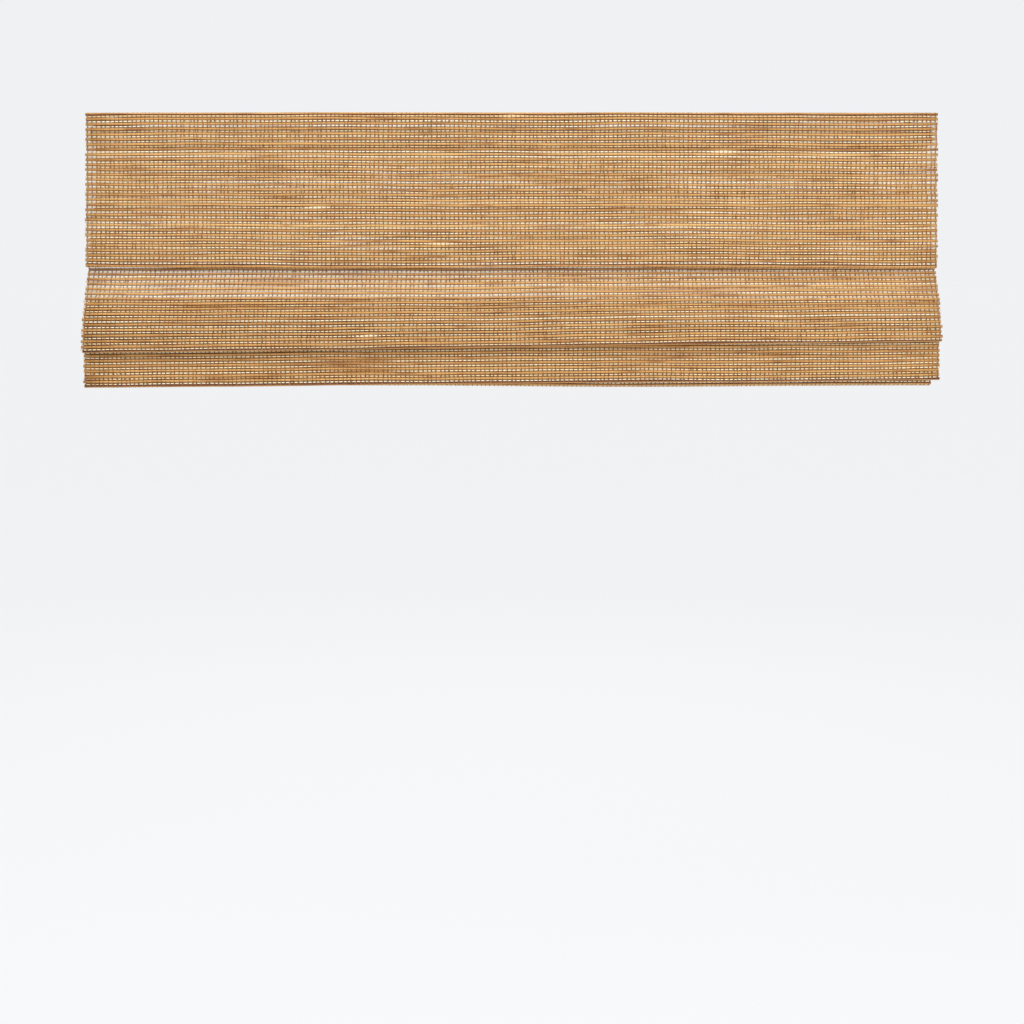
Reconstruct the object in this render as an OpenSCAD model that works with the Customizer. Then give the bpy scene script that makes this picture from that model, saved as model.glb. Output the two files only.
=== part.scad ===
// Motorized woven bamboo roman shade, raised, on two wall brackets.
// Millimetres. X runs along the headrail, +Y points into the wall, +Z is up.
// The origin is the centre of the four wall screws, on the wall's face.

/* [Woven mat] */
// Width of the woven mats
shade_w = 914; // [820:1:1100]
// Spacing of the reeds along the mat
row_pitch = 5.45; // [4.6:0.05:6.5]
// Diameter of a reed
reed_d = 3.2; // [2.4:0.1:3.6]
// Thickness of the yarn between two reeds
web_t = 1.2; // [0.8:0.1:1.8]
// Height of a gap between a reed and the yarn
gap_h = 1.0; // [0.6:0.1:1.4]
// Gaps side by side in one row
gap_columns = 4; // [2:1:4]

/* [Valance] */
// Height of the valance
valance_drop = 168; // [140:1:200]
// How far the valance stands above the brackets
valance_rise = 12; // [9:0.5:20]
// Length of mat turned back at the bottom of the valance
valance_hem = 20; // [12:1:40]

/* [Folds] */
// Spacing of two layers of mat in the stack
layer_gap = 4.8; // [4.4:0.1:6]
// Bottom of the front fold below the valance
front_fold_below = 83.5; // [80:0.5:110]
// Bottom of the lowest fold below the front fold
low_fold_below = 40; // [25:0.5:70]
// Bottom of the hem below the front fold
hem_below = 45.5; // [44:0.5:90]
// How far the front fold bulges past the valance
front_bulge = 17; // [14:0.5:25]

/* [Headrail] */
// Thickness of the board
board_t = 20; // [14:0.5:28]
// Depth of the board from front to back
board_d = 30; // [29:0.5:40]
// How far the board's ends stay inside the mat
board_inset = 7; // [4:0.5:14]
// Thickness of one half of the hook and loop tape
tape_t = 1.4; // [0.8:0.1:2]
// Height of the hook and loop tape
tape_h = 18; // [10:0.5:24]
// How far the loop tape runs past the board's ends
tape_overrun = 5; // [1:0.5:7]

/* [Brackets] */
// Width of a bracket
bracket_w = 28; // [20:1:40]
// Thickness of the bracket's steel
bracket_t = 2; // [1.5:0.1:3]
// Height of the bracket's wall leg
bracket_h = 38; // [32:1:60]
// Bracket's middle from the board's end
bracket_inset = 20; // [16:1:60]
// Spacing of the two wall screws in a bracket
screw_spacing = 16; // [12:0.5:24]
// Upper wall screw below the top of the bracket
screw_top = 10; // [8:0.5:14]
// Diameter of a wall screw's shank
screw_d = 4; // [3:0.1:5]
// Length of a wall screw's shank in the wall
screw_reach = 24; // [12:1:40]
// Diameter of the bracket bolt
bolt_d = 4; // [3:0.5:6]
// Bolt showing below its nut
bolt_tail = 10; // [4:0.5:14]

/* [Drive] */
// Drive axis below the board
axis_drop = 18; // [16.5:0.5:24]
// Diameter of the motor tube
motor_d = 25; // [22:0.5:26]
// Length of the motor tube between its end caps
motor_len = 150; // [110:1:170]
// Hex shaft across its flats
shaft_af = 6; // [5:0.5:7]
// Diameter of a spool's winding core
core_d = 17.4; // [14:0.2:20]
// Diameter of a spool's flanges
flange_d = 24; // [22:0.5:26]
// Width of a spool between its flanges
spool_w = 12; // [8:0.5:18]
// Diameter of a lift cord
cord_d = 1.2; // [0.8:0.1:1.8]
// Outer lift cords from the mat's edge
cord_inset = 107; // [95:1:130]
// Inner lift cords from the middle
cord_inner = 125; // [120:1:160]
// Travel of the motor's button
button_travel = 0.8; // [0.4:0.1:1.2]

/* [Bottom bar] */
// Height of the flat bottom bar
bar_h = 36; // [24:0.5:40]
// Thickness of the flat bottom bar
bar_t = 9; // [6:0.5:9.5]
// Wall of the hollow bar
bar_wall = 1.4; // [1:0.1:2]
// Bar's ends inside the mat's edges
bar_inset = 4; // [2:0.5:10]

/* [Hidden] */
$fn = 64;

// Small clearances
slip = 0.1;
free_gap = 0.4;
run_gap = 0.06;
eps = 0.01;
reed_r = reed_d / 2;

// Heights
bracket_top = screw_top + screw_spacing / 2;
board_top = bracket_top - bracket_t;
board_bottom = board_top - board_t;
valance_top = bracket_top + valance_rise;
tape_z = board_bottom + (board_t - tape_h) / 2;

// Depths, from the wall to the room
head_t = 2.4;
shade_y = -(bracket_t + head_t + 1.5 + reed_r);
board_back = shade_y - reed_r - slip - 2 * tape_t;
board_front = board_back - board_d;
board_mid = (board_back + board_front) / 2;
valance_y = board_front - 2 * tape_t - slip - reed_r;

// Lengths along the headrail
board_len = shade_w - 2 * board_inset;
bracket_x = board_len / 2 - bracket_inset;
bar_len = shade_w - 2 * bar_inset;
cord_outer = shade_w / 2 - cord_inset;
cord_x = [-cord_outer, -cord_inner, cord_inner, cord_outer];

// Drive axis and the line on which the lift cords hang
axis_y = board_mid;
axis_z = board_bottom - axis_drop;
wind_r = core_d / 2 + 0.3 + cord_d / 2;
cord_y = axis_y + wind_r;

// Rings sewn to the back of the mat
ring_wire = 1.5;
ring_r = 4.2;
ring_out = ring_r + ring_wire / 2;

// The stack: layers of mat bend round one centre at the back of the folds
turn_r = layer_gap / 2;
stack_y = cord_y - ring_out - free_gap - reed_r - turn_r;
function layer_r(j) = turn_r + layer_gap * j;
front_layer = 6;
valance_foot = valance_top - valance_drop;
stack_z = valance_foot - 33.8 - layer_r(front_layer);
function layer_y(j) = stack_y - layer_r(j);
function fold_line_z(row) = stack_z + (layer_r(10 - 2 * row) + layer_r(9 - 2 * row)) / 2;

// Front fold: its layers stay apart from the stack behind it
bulge_y = min(valance_y - front_bulge, layer_y(front_layer) - layer_gap - 0.7);
front_turn_r = (layer_y(front_layer) - bulge_y) / 2;
front_turn = [(layer_y(front_layer) + bulge_y) / 2,
    min(valance_foot - front_fold_below + reed_r + front_turn_r, stack_z - 10)];
front_fold_z = front_turn[1] - front_turn_r;
low_fold_z = front_fold_z - low_fold_below;

// Orbs that hold the cord ends under the lowest rings
last_rings_z = stack_z - 2;
orb_d = 8;
orb_len = 7;
orb_top = last_rings_z - (row_pitch + ring_wire) / 2 - free_gap;

// Hem pocket round the bottom bar
hem_front = stack_y + turn_r;
hem_back = cord_y + bar_t / 2 + 0.6 + reed_r;
pocket_r = (hem_back - hem_front) / 2;
pocket_y = (hem_back + hem_front) / 2;
bar_edge_r = 3;
hem_z = min(front_fold_z - hem_below, orb_top - orb_len - reed_r - 1 - pocket_r - bar_h - 2);
bar_z = hem_z + pocket_r - 2;
hem_top = bar_z + bar_h + 4;

// First ring row, where the mat crosses in front of the lift cords
first_row_z = axis_z - motor_d / 2 - 61;
cross_start = first_row_z + 38;
cross_end = first_row_z + 6;
cross_y = cord_y - ring_out - 2 * free_gap - reed_r * 1.25;
behind_valance = valance_y + layer_gap + reed_d + 1.5;

// Outline helpers: arcs, a curve from four handles, and points by length along a path
function arc(c, r, a0, a1, n) = [for (i = [0:n]) c + r * [cos(a0 + (a1 - a0) * i / n), sin(a0 + (a1 - a0) * i / n)]];
function bend(p, q, r, s, n) = [for (i = [0:n]) let (t = i / n, u = 1 - t)
    u * u * u * p + 3 * u * u * t * q + 3 * u * t * t * r + t * t * t * s];
function lengths(p) = [for (i = 0, a = 0; i < len(p); a = i + 1 < len(p) ? a + norm(p[i + 1] - p[i]) : a, i = i + 1) a];
function table(p, axis) = let (a = lengths(p)) [for (i = [0:len(p) - 1]) [a[i], p[i][axis]]];
function total(p) = let (a = lengths(p)) a[len(a) - 1];
function first_reed(p) = (total(p) - floor(total(p) / row_pitch) * row_pitch) / 2;
function reeds(p) = let (ys = table(p, 0), zs = table(p, 1), s = first_reed(p))
    [for (i = [0:floor(total(p) / row_pitch)]) [lookup(s + i * row_pitch, ys), lookup(s + i * row_pitch, zs)]];
function nearest(spots, p) = let (d = [for (q = spots) norm(q - p)]) spots[search(min(d), d)[0]];

// One fold of the stack: down the front layer, round the bottom and up the back layer
function fold(j, bottom) = let (mid = (layer_y(j) + layer_y(j - 1)) / 2) concat(
    arc([stack_y, stack_z], layer_r(j), 90, 180, 8),
    arc([mid, bottom + turn_r], turn_r, 180, 360, 8),
    arc([stack_y, stack_z], layer_r(j - 1), 180, j > 1 ? 90 : 0, 8));
function fold_line(j) = arc([stack_y, stack_z + layer_r(j) - turn_r], turn_r, 90, -90, 6);

// Centre line of the shade's mat, from the board to the hem
shade_path = concat(
    [[shade_y, board_top - reed_r - free_gap], [shade_y, cross_start], [cross_y, cross_end]],
    bend([behind_valance, valance_foot], [behind_valance - 12, valance_foot - 26],
         [bulge_y - 1, front_turn[1] + 24], [bulge_y, front_turn[1] + 1], 16),
    arc(front_turn, front_turn_r, 180, 360, 8),
    arc([stack_y, stack_z], layer_r(front_layer), 180, 90, 8),
    fold_line(front_layer), fold(front_layer - 1, low_fold_z),
    fold_line(front_layer - 2), fold(front_layer - 3, low_fold_z + 0.5),
    fold_line(front_layer - 4), fold(front_layer - 5, low_fold_z + 1),
    arc([pocket_y, hem_z + pocket_r], pocket_r, 180, 360, 10),
    arc([hem_back - 4, hem_top - 4], 4, 0, 90, 4),
    [[hem_front + layer_gap, hem_top]]);

// Centre line of the valance's mat: turned over at the top and back at the foot
valance_turn = layer_gap / 2 - 0.1;
valance_back = valance_y + 2 * valance_turn;
valance_path = concat(
    [[valance_back, bracket_top + reed_r + free_gap]],
    arc([valance_y + valance_turn, valance_top - reed_r - valance_turn], valance_turn, 0, 180, 8),
    arc([valance_y + valance_turn, valance_foot + reed_r + valance_turn], valance_turn, 180, 360, 8),
    [[valance_back, valance_foot + valance_hem]]);

// Shapes drawn in the YZ plane and run along X
module along_x(length) {
    translate([-length / 2, 0, 0]) rotate([90, 0, 90]) linear_extrude(length) children();
}

module rounded_bar(w, h, r) {
    square([w - 2 * r, h], center = true);
    square([w, h - 2 * r], center = true);
    for (x = [-1, 1], y = [-1, 1]) translate([x * (w / 2 - r), y * (h / 2 - r)]) circle(r);
}

// A woven mat: reeds in rows along a path, joined by a thin wall of yarn
module reed_mat(path) {
    spots = reeds(path);
    rows = len(spots) - 1;
    sides = [for (i = [0:rows]) let (d = spots[min(i + 1, rows)] - spots[max(i - 1, 0)])
        [d[1], -d[0]] / norm(d) * web_t / 2];
    along_x(shade_w) {
        polygon(concat([for (i = [0:rows]) spots[i] + sides[i]], [for (i = [rows:-1:0]) spots[i] - sides[i]]));
        for (p = spots) translate(p) circle(reed_r);
    }
}

// See-through gaps between the reeds of one stretch of a mat
module mat_gaps(path, from, upto) {
    ys = table(path, 0);
    zs = table(path, 1);
    margin = first_reed(path);
    gap_w = shade_w / gap_columns - 12;
    for (i = [from:upto], c = [0:gap_columns - 1]) {
        s = margin + (i + 0.5) * row_pitch;
        dy = lookup(s + 1, ys) - lookup(s - 1, ys);
        dz = lookup(s + 1, zs) - lookup(s - 1, zs);
        translate([(c + 0.5) * shade_w / gap_columns - shade_w / 2, lookup(s, ys), lookup(s, zs)])
            rotate([atan2(dz, dy) - 90, 0, 0]) cube([gap_w, 2 * reed_d, gap_h], center = true);
    }
}

module valance_mat() {
    first = ceil((valance_top - bracket_top) / row_pitch) + 2;
    color("peru") difference() {
        reed_mat(valance_path);
        mat_gaps(valance_path, first, first + min(floor((valance_drop - 24) / row_pitch), floor(120 / gap_columns) - 1));
    }
}

module shade_mat() {
    first = ceil((board_top - cross_end) / row_pitch) + 4;
    color("peru") difference() {
        reed_mat(shade_path);
        mat_gaps(shade_path, first, first + 21);
        for (x = cord_x) translate([x, cord_y, (cross_start + cross_end) / 2]) cube([3, 12, 28], center = true);
    }
}

// Wooden headrail board with its bolt holes and screw holes
module headrail_board() {
    color("burlywood") difference() {
        translate([-board_len / 2, board_front, board_bottom]) cube([board_len, board_d, board_t]);
        for (x = [-bracket_x, bracket_x]) translate([x, axis_y, board_bottom - 1]) cylinder(d = bolt_d + 0.6, h = board_t + 2);
        small_screw_spots() translate([0, 0, -1]) cylinder(d = small_d + 2 * slip, h = small_len + 1 + slip);
    }
}

module tape(y, overrun) {
    along_x(board_len + 2 * overrun) translate([y, tape_z]) square([tape_t, tape_h]);
}

module front_loop_tape() { color("white") tape(board_front - tape_t, tape_overrun); }
module rear_loop_tape() { color("white") tape(board_back, tape_overrun); }
module valance_hook_tape() { color("gainsboro") tape(board_front - 2 * tape_t, tape_overrun - 2); }
module shade_hook_tape() { color("gainsboro") tape(board_back + tape_t, tape_overrun - 2); }

// Bent steel bracket: one leg on the wall, one over the board
module bracket(x) {
    bend_r = bracket_t + 1;
    hole_z = [screw_spacing / 2, -screw_spacing / 2];
    corner = 3;
    color("dimgray") translate([x, 0, 0]) difference() {
        union() {
            translate([0, -bend_r, bracket_top - bend_r]) intersection() {
                along_x(bracket_w) difference() { circle(bend_r); circle(bend_r - bracket_t); }
                translate([-bracket_w, 0, 0]) cube([2 * bracket_w, 2 * bend_r, 2 * bend_r]);
            }
            translate([0, 0, bracket_top - bracket_h]) rotate([90, 0, 0]) linear_extrude(bracket_t)
                leg_outline(bracket_h - bend_r, corner);
            translate([0, board_front, board_top]) linear_extrude(bracket_t)
                leg_outline(-board_front - bend_r, corner);
        }
        for (z = hole_z) translate([0, 1, z]) rotate([90, 0, 0]) cylinder(d = screw_d + 0.6, h = bracket_t + 2);
        translate([0, axis_y, board_top - 1]) cylinder(d = bolt_d + 0.6, h = bracket_t + 2);
    }
}

// A leg of the bracket: square where it is bent, rounded at its free end
module leg_outline(length, corner) {
    translate([-bracket_w / 2, corner]) square([bracket_w, length - corner]);
    translate([-bracket_w / 2 + corner, 0]) square([bracket_w - 2 * corner, length]);
    for (s = [-1, 1]) translate([s * (bracket_w / 2 - corner), corner]) circle(corner);
}

module bracket_left() { bracket(-bracket_x); }
module bracket_right() { bracket(bracket_x); }

// Bolts that hold the board up against the brackets
washer_t = 1;
washer_d = 3.5 * bolt_d;
nut_af = 1.75 * bolt_d;
nut_t = 0.8 * bolt_d;
bolt_head_d = 2 * bolt_d;
bolt_head_t = 0.65 * bolt_d;

module at_bolts() {
    for (x = [-bracket_x, bracket_x]) translate([x, axis_y, 0]) children();
}

module bracket_bolts() {
    foot = board_bottom - washer_t - nut_t - bolt_tail;
    color("dimgray") at_bolts() {
        translate([0, 0, bracket_top]) cylinder(d = bolt_head_d, h = bolt_head_t);
        translate([0, 0, foot + 0.5]) cylinder(d = bolt_d, h = bracket_top - foot - 0.5 + eps);
        translate([0, 0, foot]) cylinder(d1 = bolt_d - 1, d2 = bolt_d, h = 0.5 + eps);
    }
}

module bracket_washers() {
    color("dimgray") at_bolts() translate([0, 0, board_bottom - washer_t]) difference() {
        cylinder(d = washer_d, h = washer_t);
        translate([0, 0, -1]) cylinder(d = bolt_d + 2 * slip, h = washer_t + 2);
    }
}

module bracket_nuts() {
    color("dimgray") at_bolts() translate([0, 0, board_bottom - washer_t - nut_t]) difference() {
        cylinder(d = nut_af / cos(30), h = nut_t, $fn = 6);
        translate([0, 0, -1]) cylinder(d = bolt_d + slip, h = nut_t + 2);
    }
}

// Pan head wall screws with a cross recess
module wall_screws() {
    head_d = 1.9 * screw_d;
    recess = 0.22 * head_d;
    color("darkkhaki") for (x = [-bracket_x, bracket_x], z = [-1, 1])
        translate([x, -bracket_t, z * screw_spacing / 2]) rotate([-90, 0, 0]) difference() {
            union() {
                translate([0, 0, -head_t]) cylinder(d1 = 0.72 * head_d, d2 = head_d, h = head_t / 2);
                translate([0, 0, -head_t / 2]) cylinder(d = head_d, h = head_t / 2);
                translate([0, 0, -eps]) cylinder(d1 = screw_d + 0.5, d2 = screw_d, h = bracket_t + eps);
                translate([0, 0, bracket_t - eps]) cylinder(d = screw_d, h = screw_reach + eps);
                translate([0, 0, bracket_t + screw_reach]) cylinder(d1 = screw_d, d2 = 0.6, h = screw_d);
            }
            for (a = [0, 90]) rotate([0, 0, a]) translate([-0.3 * head_d, -recess / 2, -head_t - 1]) cube([0.6 * head_d, recess, head_t / 2 + 1]);
        }
}

// Screws that go up into the board: two for each cradle and each clip
small_d = 3;
small_head_d = 5.6;
small_head_t = 2;
small_len = 12;
cradle_t = 3;
clip_t = 1.2;
clip_w = 14;
clip_x = motor_len / 2 - 30;
cradle_screw_dy = board_d / 2 - 4;
clip_screw_dy = motor_d / 2 - 3.5;

module cradle_screw_spots() {
    for (x = cord_x, s = [-1, 1]) translate([x, axis_y + s * cradle_screw_dy, board_bottom]) children();
}

module clip_screw_spots() {
    for (x = [-clip_x, clip_x], s = [-1, 1]) translate([x, axis_y + s * clip_screw_dy, board_bottom]) children();
}

module small_screw_spots() {
    cradle_screw_spots() children();
    clip_screw_spots() children();
}

module small_screw(plate) {
    translate([0, 0, -plate - small_head_t]) cylinder(d1 = 0.7 * small_head_d, d2 = small_head_d, h = small_head_t);
    translate([0, 0, -plate - eps]) cylinder(d = small_d, h = plate + small_len - 2 + eps);
    translate([0, 0, small_len - 2]) cylinder(d1 = small_d, d2 = 0.6, h = 2);
}

module cradle_screws() { color("silver") cradle_screw_spots() small_screw(cradle_t); }
module clip_screws() { color("silver") clip_screw_spots() small_screw(clip_t); }

// Motor: a tube round the shaft, with a control head on the left and a cap on the right
head_len = 26;
cap_len = 9;
shaft_hole = shaft_af / cos(30) + 1.2;
plug_len = 8;
motor_wall = 1.5;
head_flat = motor_d / 2 + 2;
button_d = 6.6;
button_x = -motor_len / 2 - 9;
lens_x = -motor_len / 2 - 16;
lens_d = 2.2;
inlet_x = -motor_len / 2 - 21;
inlet_w = 9.2;
inlet_h = 3.4;

module on_axis(x) { translate([x, axis_y, axis_z]) rotate([0, 90, 0]) children(); }

module motor_tube() {
    color("dimgray") difference() {
        on_axis(-motor_len / 2) cylinder(d = motor_d, h = motor_len);
        on_axis(-motor_len / 2 - 1) cylinder(d = motor_d - 2 * motor_wall, h = plug_len + 1 + slip);
        on_axis(motor_len / 2 - plug_len - slip) cylinder(d = motor_d - 2 * motor_wall, h = plug_len + 1 + slip);
        on_axis(-motor_len) cylinder(d = shaft_hole, h = 2 * motor_len);
    }
}

module motor_head() {
    start = -motor_len / 2 - head_len;
    color("whitesmoke") difference() {
        union() {
            on_axis(start) cylinder(d = motor_d, h = head_len);
            on_axis(-motor_len / 2 - 1) cylinder(d = motor_d - 2 * motor_wall - 2 * slip, h = plug_len + 1);
            translate([start, axis_y - motor_d / 2 + 3, axis_z - head_flat]) cube([head_len, motor_d - 6, head_flat]);
        }
        on_axis(start - 1) cylinder(d = shaft_hole, h = head_len + plug_len + 2);
        translate([button_x, axis_y, axis_z - head_flat - 1]) cylinder(d = button_d + 0.4, h = 6);
        translate([lens_x, axis_y + 6, axis_z - head_flat - 1]) cylinder(d = lens_d + 2 * slip, h = 3);
        translate([inlet_x, axis_y, axis_z - head_flat - 1]) linear_extrude(7) {
            square([inlet_h, inlet_w - inlet_h], center = true);
            for (s = [-1, 1]) translate([0, s * (inlet_w - inlet_h) / 2]) circle(d = inlet_h);
        }
    }
}

module motor_end_cap() {
    color("whitesmoke") difference() {
        union() {
            on_axis(motor_len / 2) cylinder(d = motor_d, h = cap_len - 2);
            on_axis(motor_len / 2 + cap_len - 2) cylinder(d1 = motor_d, d2 = motor_d - 4, h = 2);
            on_axis(motor_len / 2 - plug_len) cylinder(d = motor_d - 2 * motor_wall - 2 * slip, h = plug_len + 1);
        }
        on_axis(motor_len / 2 - plug_len - 1) cylinder(d = shaft_hole, h = cap_len + plug_len + 2);
    }
}

module motor_button() {
    color("gray") translate([button_x, axis_y, axis_z - head_flat - 1]) {
        translate([0, 0, 0.6]) cylinder(d = button_d, h = 5 - button_travel - 0.8);
        cylinder(d1 = button_d - 1.2, d2 = button_d, h = 0.6 + eps);
    }
}

module status_lens() {
    color("lightgreen") translate([lens_x, axis_y + 6, axis_z - head_flat]) cylinder(d = lens_d, h = 1.9);
}

// Steel strap that holds the motor tube under the board
module motor_clip(x) {
    inner = motor_d / 2 + 0.05;
    outer = inner + clip_t;
    foot = 7;
    color("silver") translate([x, axis_y, axis_z]) difference() {
        along_x(clip_w) {
            difference() {
                circle(outer);
                circle(inner);
                translate([-2 * outer, 0]) square([4 * outer, 2 * outer]);
            }
            for (s = [-1, 1]) {
                translate([s * (inner + clip_t / 2), axis_drop / 2]) square([clip_t, axis_drop], center = true);
                translate([s * (inner - foot / 2), axis_drop - clip_t / 2]) square([foot, clip_t], center = true);
            }
        }
        for (s = [-1, 1]) translate([0, s * clip_screw_dy, axis_drop - clip_t - 1]) cylinder(d = small_d + 2 * slip, h = clip_t + 2);
    }
}

module motor_clip_left() { motor_clip(-clip_x); }
module motor_clip_right() { motor_clip(clip_x); }

// Spool cradles: a plate under the board and two cheeks that carry the spool's journals
flange_t = 1.5;
cheek_t = 3;
journal_d = 11;
spool_half = spool_w / 2 + flange_t;
cheek_x = spool_half + 0.6;

module spool_cradle(x) {
    cheek_r = journal_d / 2 + 4;
    plate_d = board_d - 1;
    color("whitesmoke") translate([x, axis_y, axis_z]) difference() {
        union() {
            translate([-cheek_x - cheek_t, -plate_d / 2, axis_drop - cradle_t]) cube([2 * (cheek_x + cheek_t), plate_d, cradle_t]);
            for (s = [-1, 1]) translate([s * (cheek_x + cheek_t / 2), 0, 0]) along_x(cheek_t) {
                circle(cheek_r);
                translate([-cheek_r, 0]) square([2 * cheek_r, axis_drop - eps]);
            }
        }
        translate([-cheek_x - cheek_t - 1, 0, 0]) rotate([0, 90, 0]) cylinder(d = journal_d + 2 * run_gap, h = 2 * (cheek_x + cheek_t + 1));
        for (s = [-1, 1]) translate([0, s * cradle_screw_dy, axis_drop - cradle_t - 1]) cylinder(d = small_d + 2 * slip, h = cradle_t + 2);
    }
}

module spool_cradle_1() { spool_cradle(cord_x[0]); }
module spool_cradle_2() { spool_cradle(cord_x[1]); }
module spool_cradle_3() { spool_cradle(cord_x[2]); }
module spool_cradle_4() { spool_cradle(cord_x[3]); }

// Cord spools on the hex shaft
module cord_spool(x) {
    journal_half = cheek_x + cheek_t + 0.5;
    color("whitesmoke") on_axis(x) difference() {
        union() {
            cylinder(d = core_d, h = 2 * spool_half, center = true);
            cylinder(d = journal_d, h = 2 * journal_half, center = true);
            for (s = [-1, 1]) translate([0, 0, s * (spool_half - flange_t / 2)]) cylinder(d = flange_d, h = flange_t, center = true);
        }
        cylinder(d = (shaft_af + slip) / cos(30), h = 2 * journal_half + 2, center = true, $fn = 6);
    }
}

module cord_spool_1() { cord_spool(cord_x[0]); }
module cord_spool_2() { cord_spool(cord_x[1]); }
module cord_spool_3() { cord_spool(cord_x[2]); }
module cord_spool_4() { cord_spool(cord_x[3]); }

module drive_shaft() {
    reach = cord_outer + cheek_x + cheek_t + 5;
    color("silver") on_axis(-reach) cylinder(d = shaft_af / cos(30), h = 2 * reach, $fn = 6);
}

// Lift cords, taut from the spools to the bottom orbs
module lift_cord(x) {
    foot = orb_top + 0.2;
    color("ivory") translate([x, cord_y, foot]) cylinder(d = cord_d, h = axis_z - foot);
}

module lift_cord_1() { lift_cord(cord_x[0]); }
module lift_cord_2() { lift_cord(cord_x[1]); }
module lift_cord_3() { lift_cord(cord_x[2]); }
module lift_cord_4() { lift_cord(cord_x[3]); }

// A row of cord rings, each with a short shank sewn to the nearest reed
module cord_rings(y, z) {
    spot = nearest(reeds(shade_path), [y, z]);
    shank = cord_y - ring_r - spot[0] - reed_r - free_gap;
    color("white") for (x = cord_x) translate([x, cord_y, spot[1]]) {
        rotate_extrude() translate([ring_r, 0]) circle(d = ring_wire);
        translate([0, -ring_r, 0]) rotate([90, 0, 0]) cylinder(d = 0.9 * ring_wire, h = shank);
    }
}

module cord_rings_1() { cord_rings(cross_y, first_row_z); }
module cord_rings_2() { cord_rings(stack_y + turn_r, fold_line_z(2)); }
module cord_rings_3() { cord_rings(stack_y + turn_r, fold_line_z(3)); }
module cord_rings_4() { cord_rings(stack_y + turn_r, fold_line_z(4)); }
module cord_rings_5() { cord_rings(hem_front, last_rings_z); }

// Orbs that grip the cord ends under the lowest rings
module cord_orbs() {
    color("white") for (x = cord_x) translate([x, cord_y, orb_top - orb_len]) {
        translate([0, 0, 2]) cylinder(d = orb_d, h = orb_len - 4);
        translate([0, 0, orb_len - 2]) cylinder(d1 = orb_d, d2 = orb_d - 3, h = 2);
        cylinder(d1 = orb_d - 3, d2 = orb_d, h = 2);
    }
}

// Hollow flat bar in the hem, with plugged end caps
cap_t = 3;
cap_plug = 10;

module bottom_bar() {
    color("white") translate([0, pocket_y, bar_z + bar_h / 2]) along_x(bar_len - 2 * cap_t) difference() {
        rounded_bar(bar_t, bar_h, bar_edge_r);
        rounded_bar(bar_t - 2 * bar_wall, bar_h - 2 * bar_wall, bar_edge_r - bar_wall);
    }
}

module bar_cap(side) {
    plug_w = bar_t - 2 * bar_wall - 2 * slip;
    plug_h = bar_h - 2 * bar_wall - 2 * slip;
    color("white") translate([side * (bar_len - cap_t) / 2, pocket_y, bar_z + bar_h / 2]) {
        along_x(cap_t) rounded_bar(bar_t, bar_h, bar_edge_r);
        translate([-side * (cap_t + cap_plug) / 2, 0, 0]) along_x(cap_plug + eps)
            rounded_bar(plug_w, plug_h, bar_edge_r - bar_wall - slip);
    }
}

module bar_cap_left() { bar_cap(-1); }
module bar_cap_right() { bar_cap(1); }

headrail_board();
front_loop_tape();
rear_loop_tape();
valance_hook_tape();
shade_hook_tape();
valance_mat();
shade_mat();
bracket_left();
bracket_right();
bracket_bolts();
bracket_washers();
bracket_nuts();
wall_screws();
motor_tube();
motor_head();
motor_end_cap();
motor_button();
status_lens();
motor_clip_left();
motor_clip_right();
clip_screws();
spool_cradle_1();
spool_cradle_2();
spool_cradle_3();
spool_cradle_4();
cradle_screws();
drive_shaft();
cord_spool_1();
cord_spool_2();
cord_spool_3();
cord_spool_4();
lift_cord_1();
lift_cord_2();
lift_cord_3();
lift_cord_4();
cord_rings_1();
cord_rings_2();
cord_rings_3();
cord_rings_4();
cord_rings_5();
cord_orbs();
bottom_bar();
bar_cap_left();
bar_cap_right();
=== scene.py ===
import math

import bmesh
import bpy
import numpy as np
from mathutils import Matrix, Vector


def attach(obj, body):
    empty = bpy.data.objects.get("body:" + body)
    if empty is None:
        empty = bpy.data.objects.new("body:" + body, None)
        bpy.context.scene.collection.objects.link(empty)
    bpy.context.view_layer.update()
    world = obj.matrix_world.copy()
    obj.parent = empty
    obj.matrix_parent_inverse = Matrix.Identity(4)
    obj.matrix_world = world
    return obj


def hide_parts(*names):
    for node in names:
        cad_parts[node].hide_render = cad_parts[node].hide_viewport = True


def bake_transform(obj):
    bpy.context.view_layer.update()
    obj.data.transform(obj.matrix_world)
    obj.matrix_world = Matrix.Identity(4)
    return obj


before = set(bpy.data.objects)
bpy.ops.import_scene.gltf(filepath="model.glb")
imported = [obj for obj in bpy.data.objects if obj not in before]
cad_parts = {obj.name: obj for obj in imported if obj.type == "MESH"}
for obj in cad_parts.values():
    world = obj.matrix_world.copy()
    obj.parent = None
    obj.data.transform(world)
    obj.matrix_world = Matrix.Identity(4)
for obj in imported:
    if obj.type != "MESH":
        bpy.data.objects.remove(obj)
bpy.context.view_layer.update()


# Headrail board: a bare sawn softwood batten that carries the whole shade.
# Its ends are rough cut; the grain runs along its length.
def srgb(red, green, blue):
    """A colour written in 0 to 255, as the linear value that sockets take."""
    shares = (red / 255, green / 255, blue / 255)
    linear = [c / 12.92 if c <= 0.04045 else ((c + 0.055) / 1.055) ** 2.4 for c in shares]
    return (*linear, 1.0)


def finish_material(name, roughness, metallic=0.0):
    """A new material: its tree, its shader, and the Object coordinates that its patterns read."""
    material = bpy.data.materials.new(name)
    material.use_nodes = True
    tree = material.node_tree
    shader = tree.nodes["Principled BSDF"]
    shader.inputs["Roughness"].default_value = roughness
    shader.inputs["Metallic"].default_value = metallic
    place = tree.nodes.new("ShaderNodeTexCoord").outputs["Object"]
    return material, tree, shader, place


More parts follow.
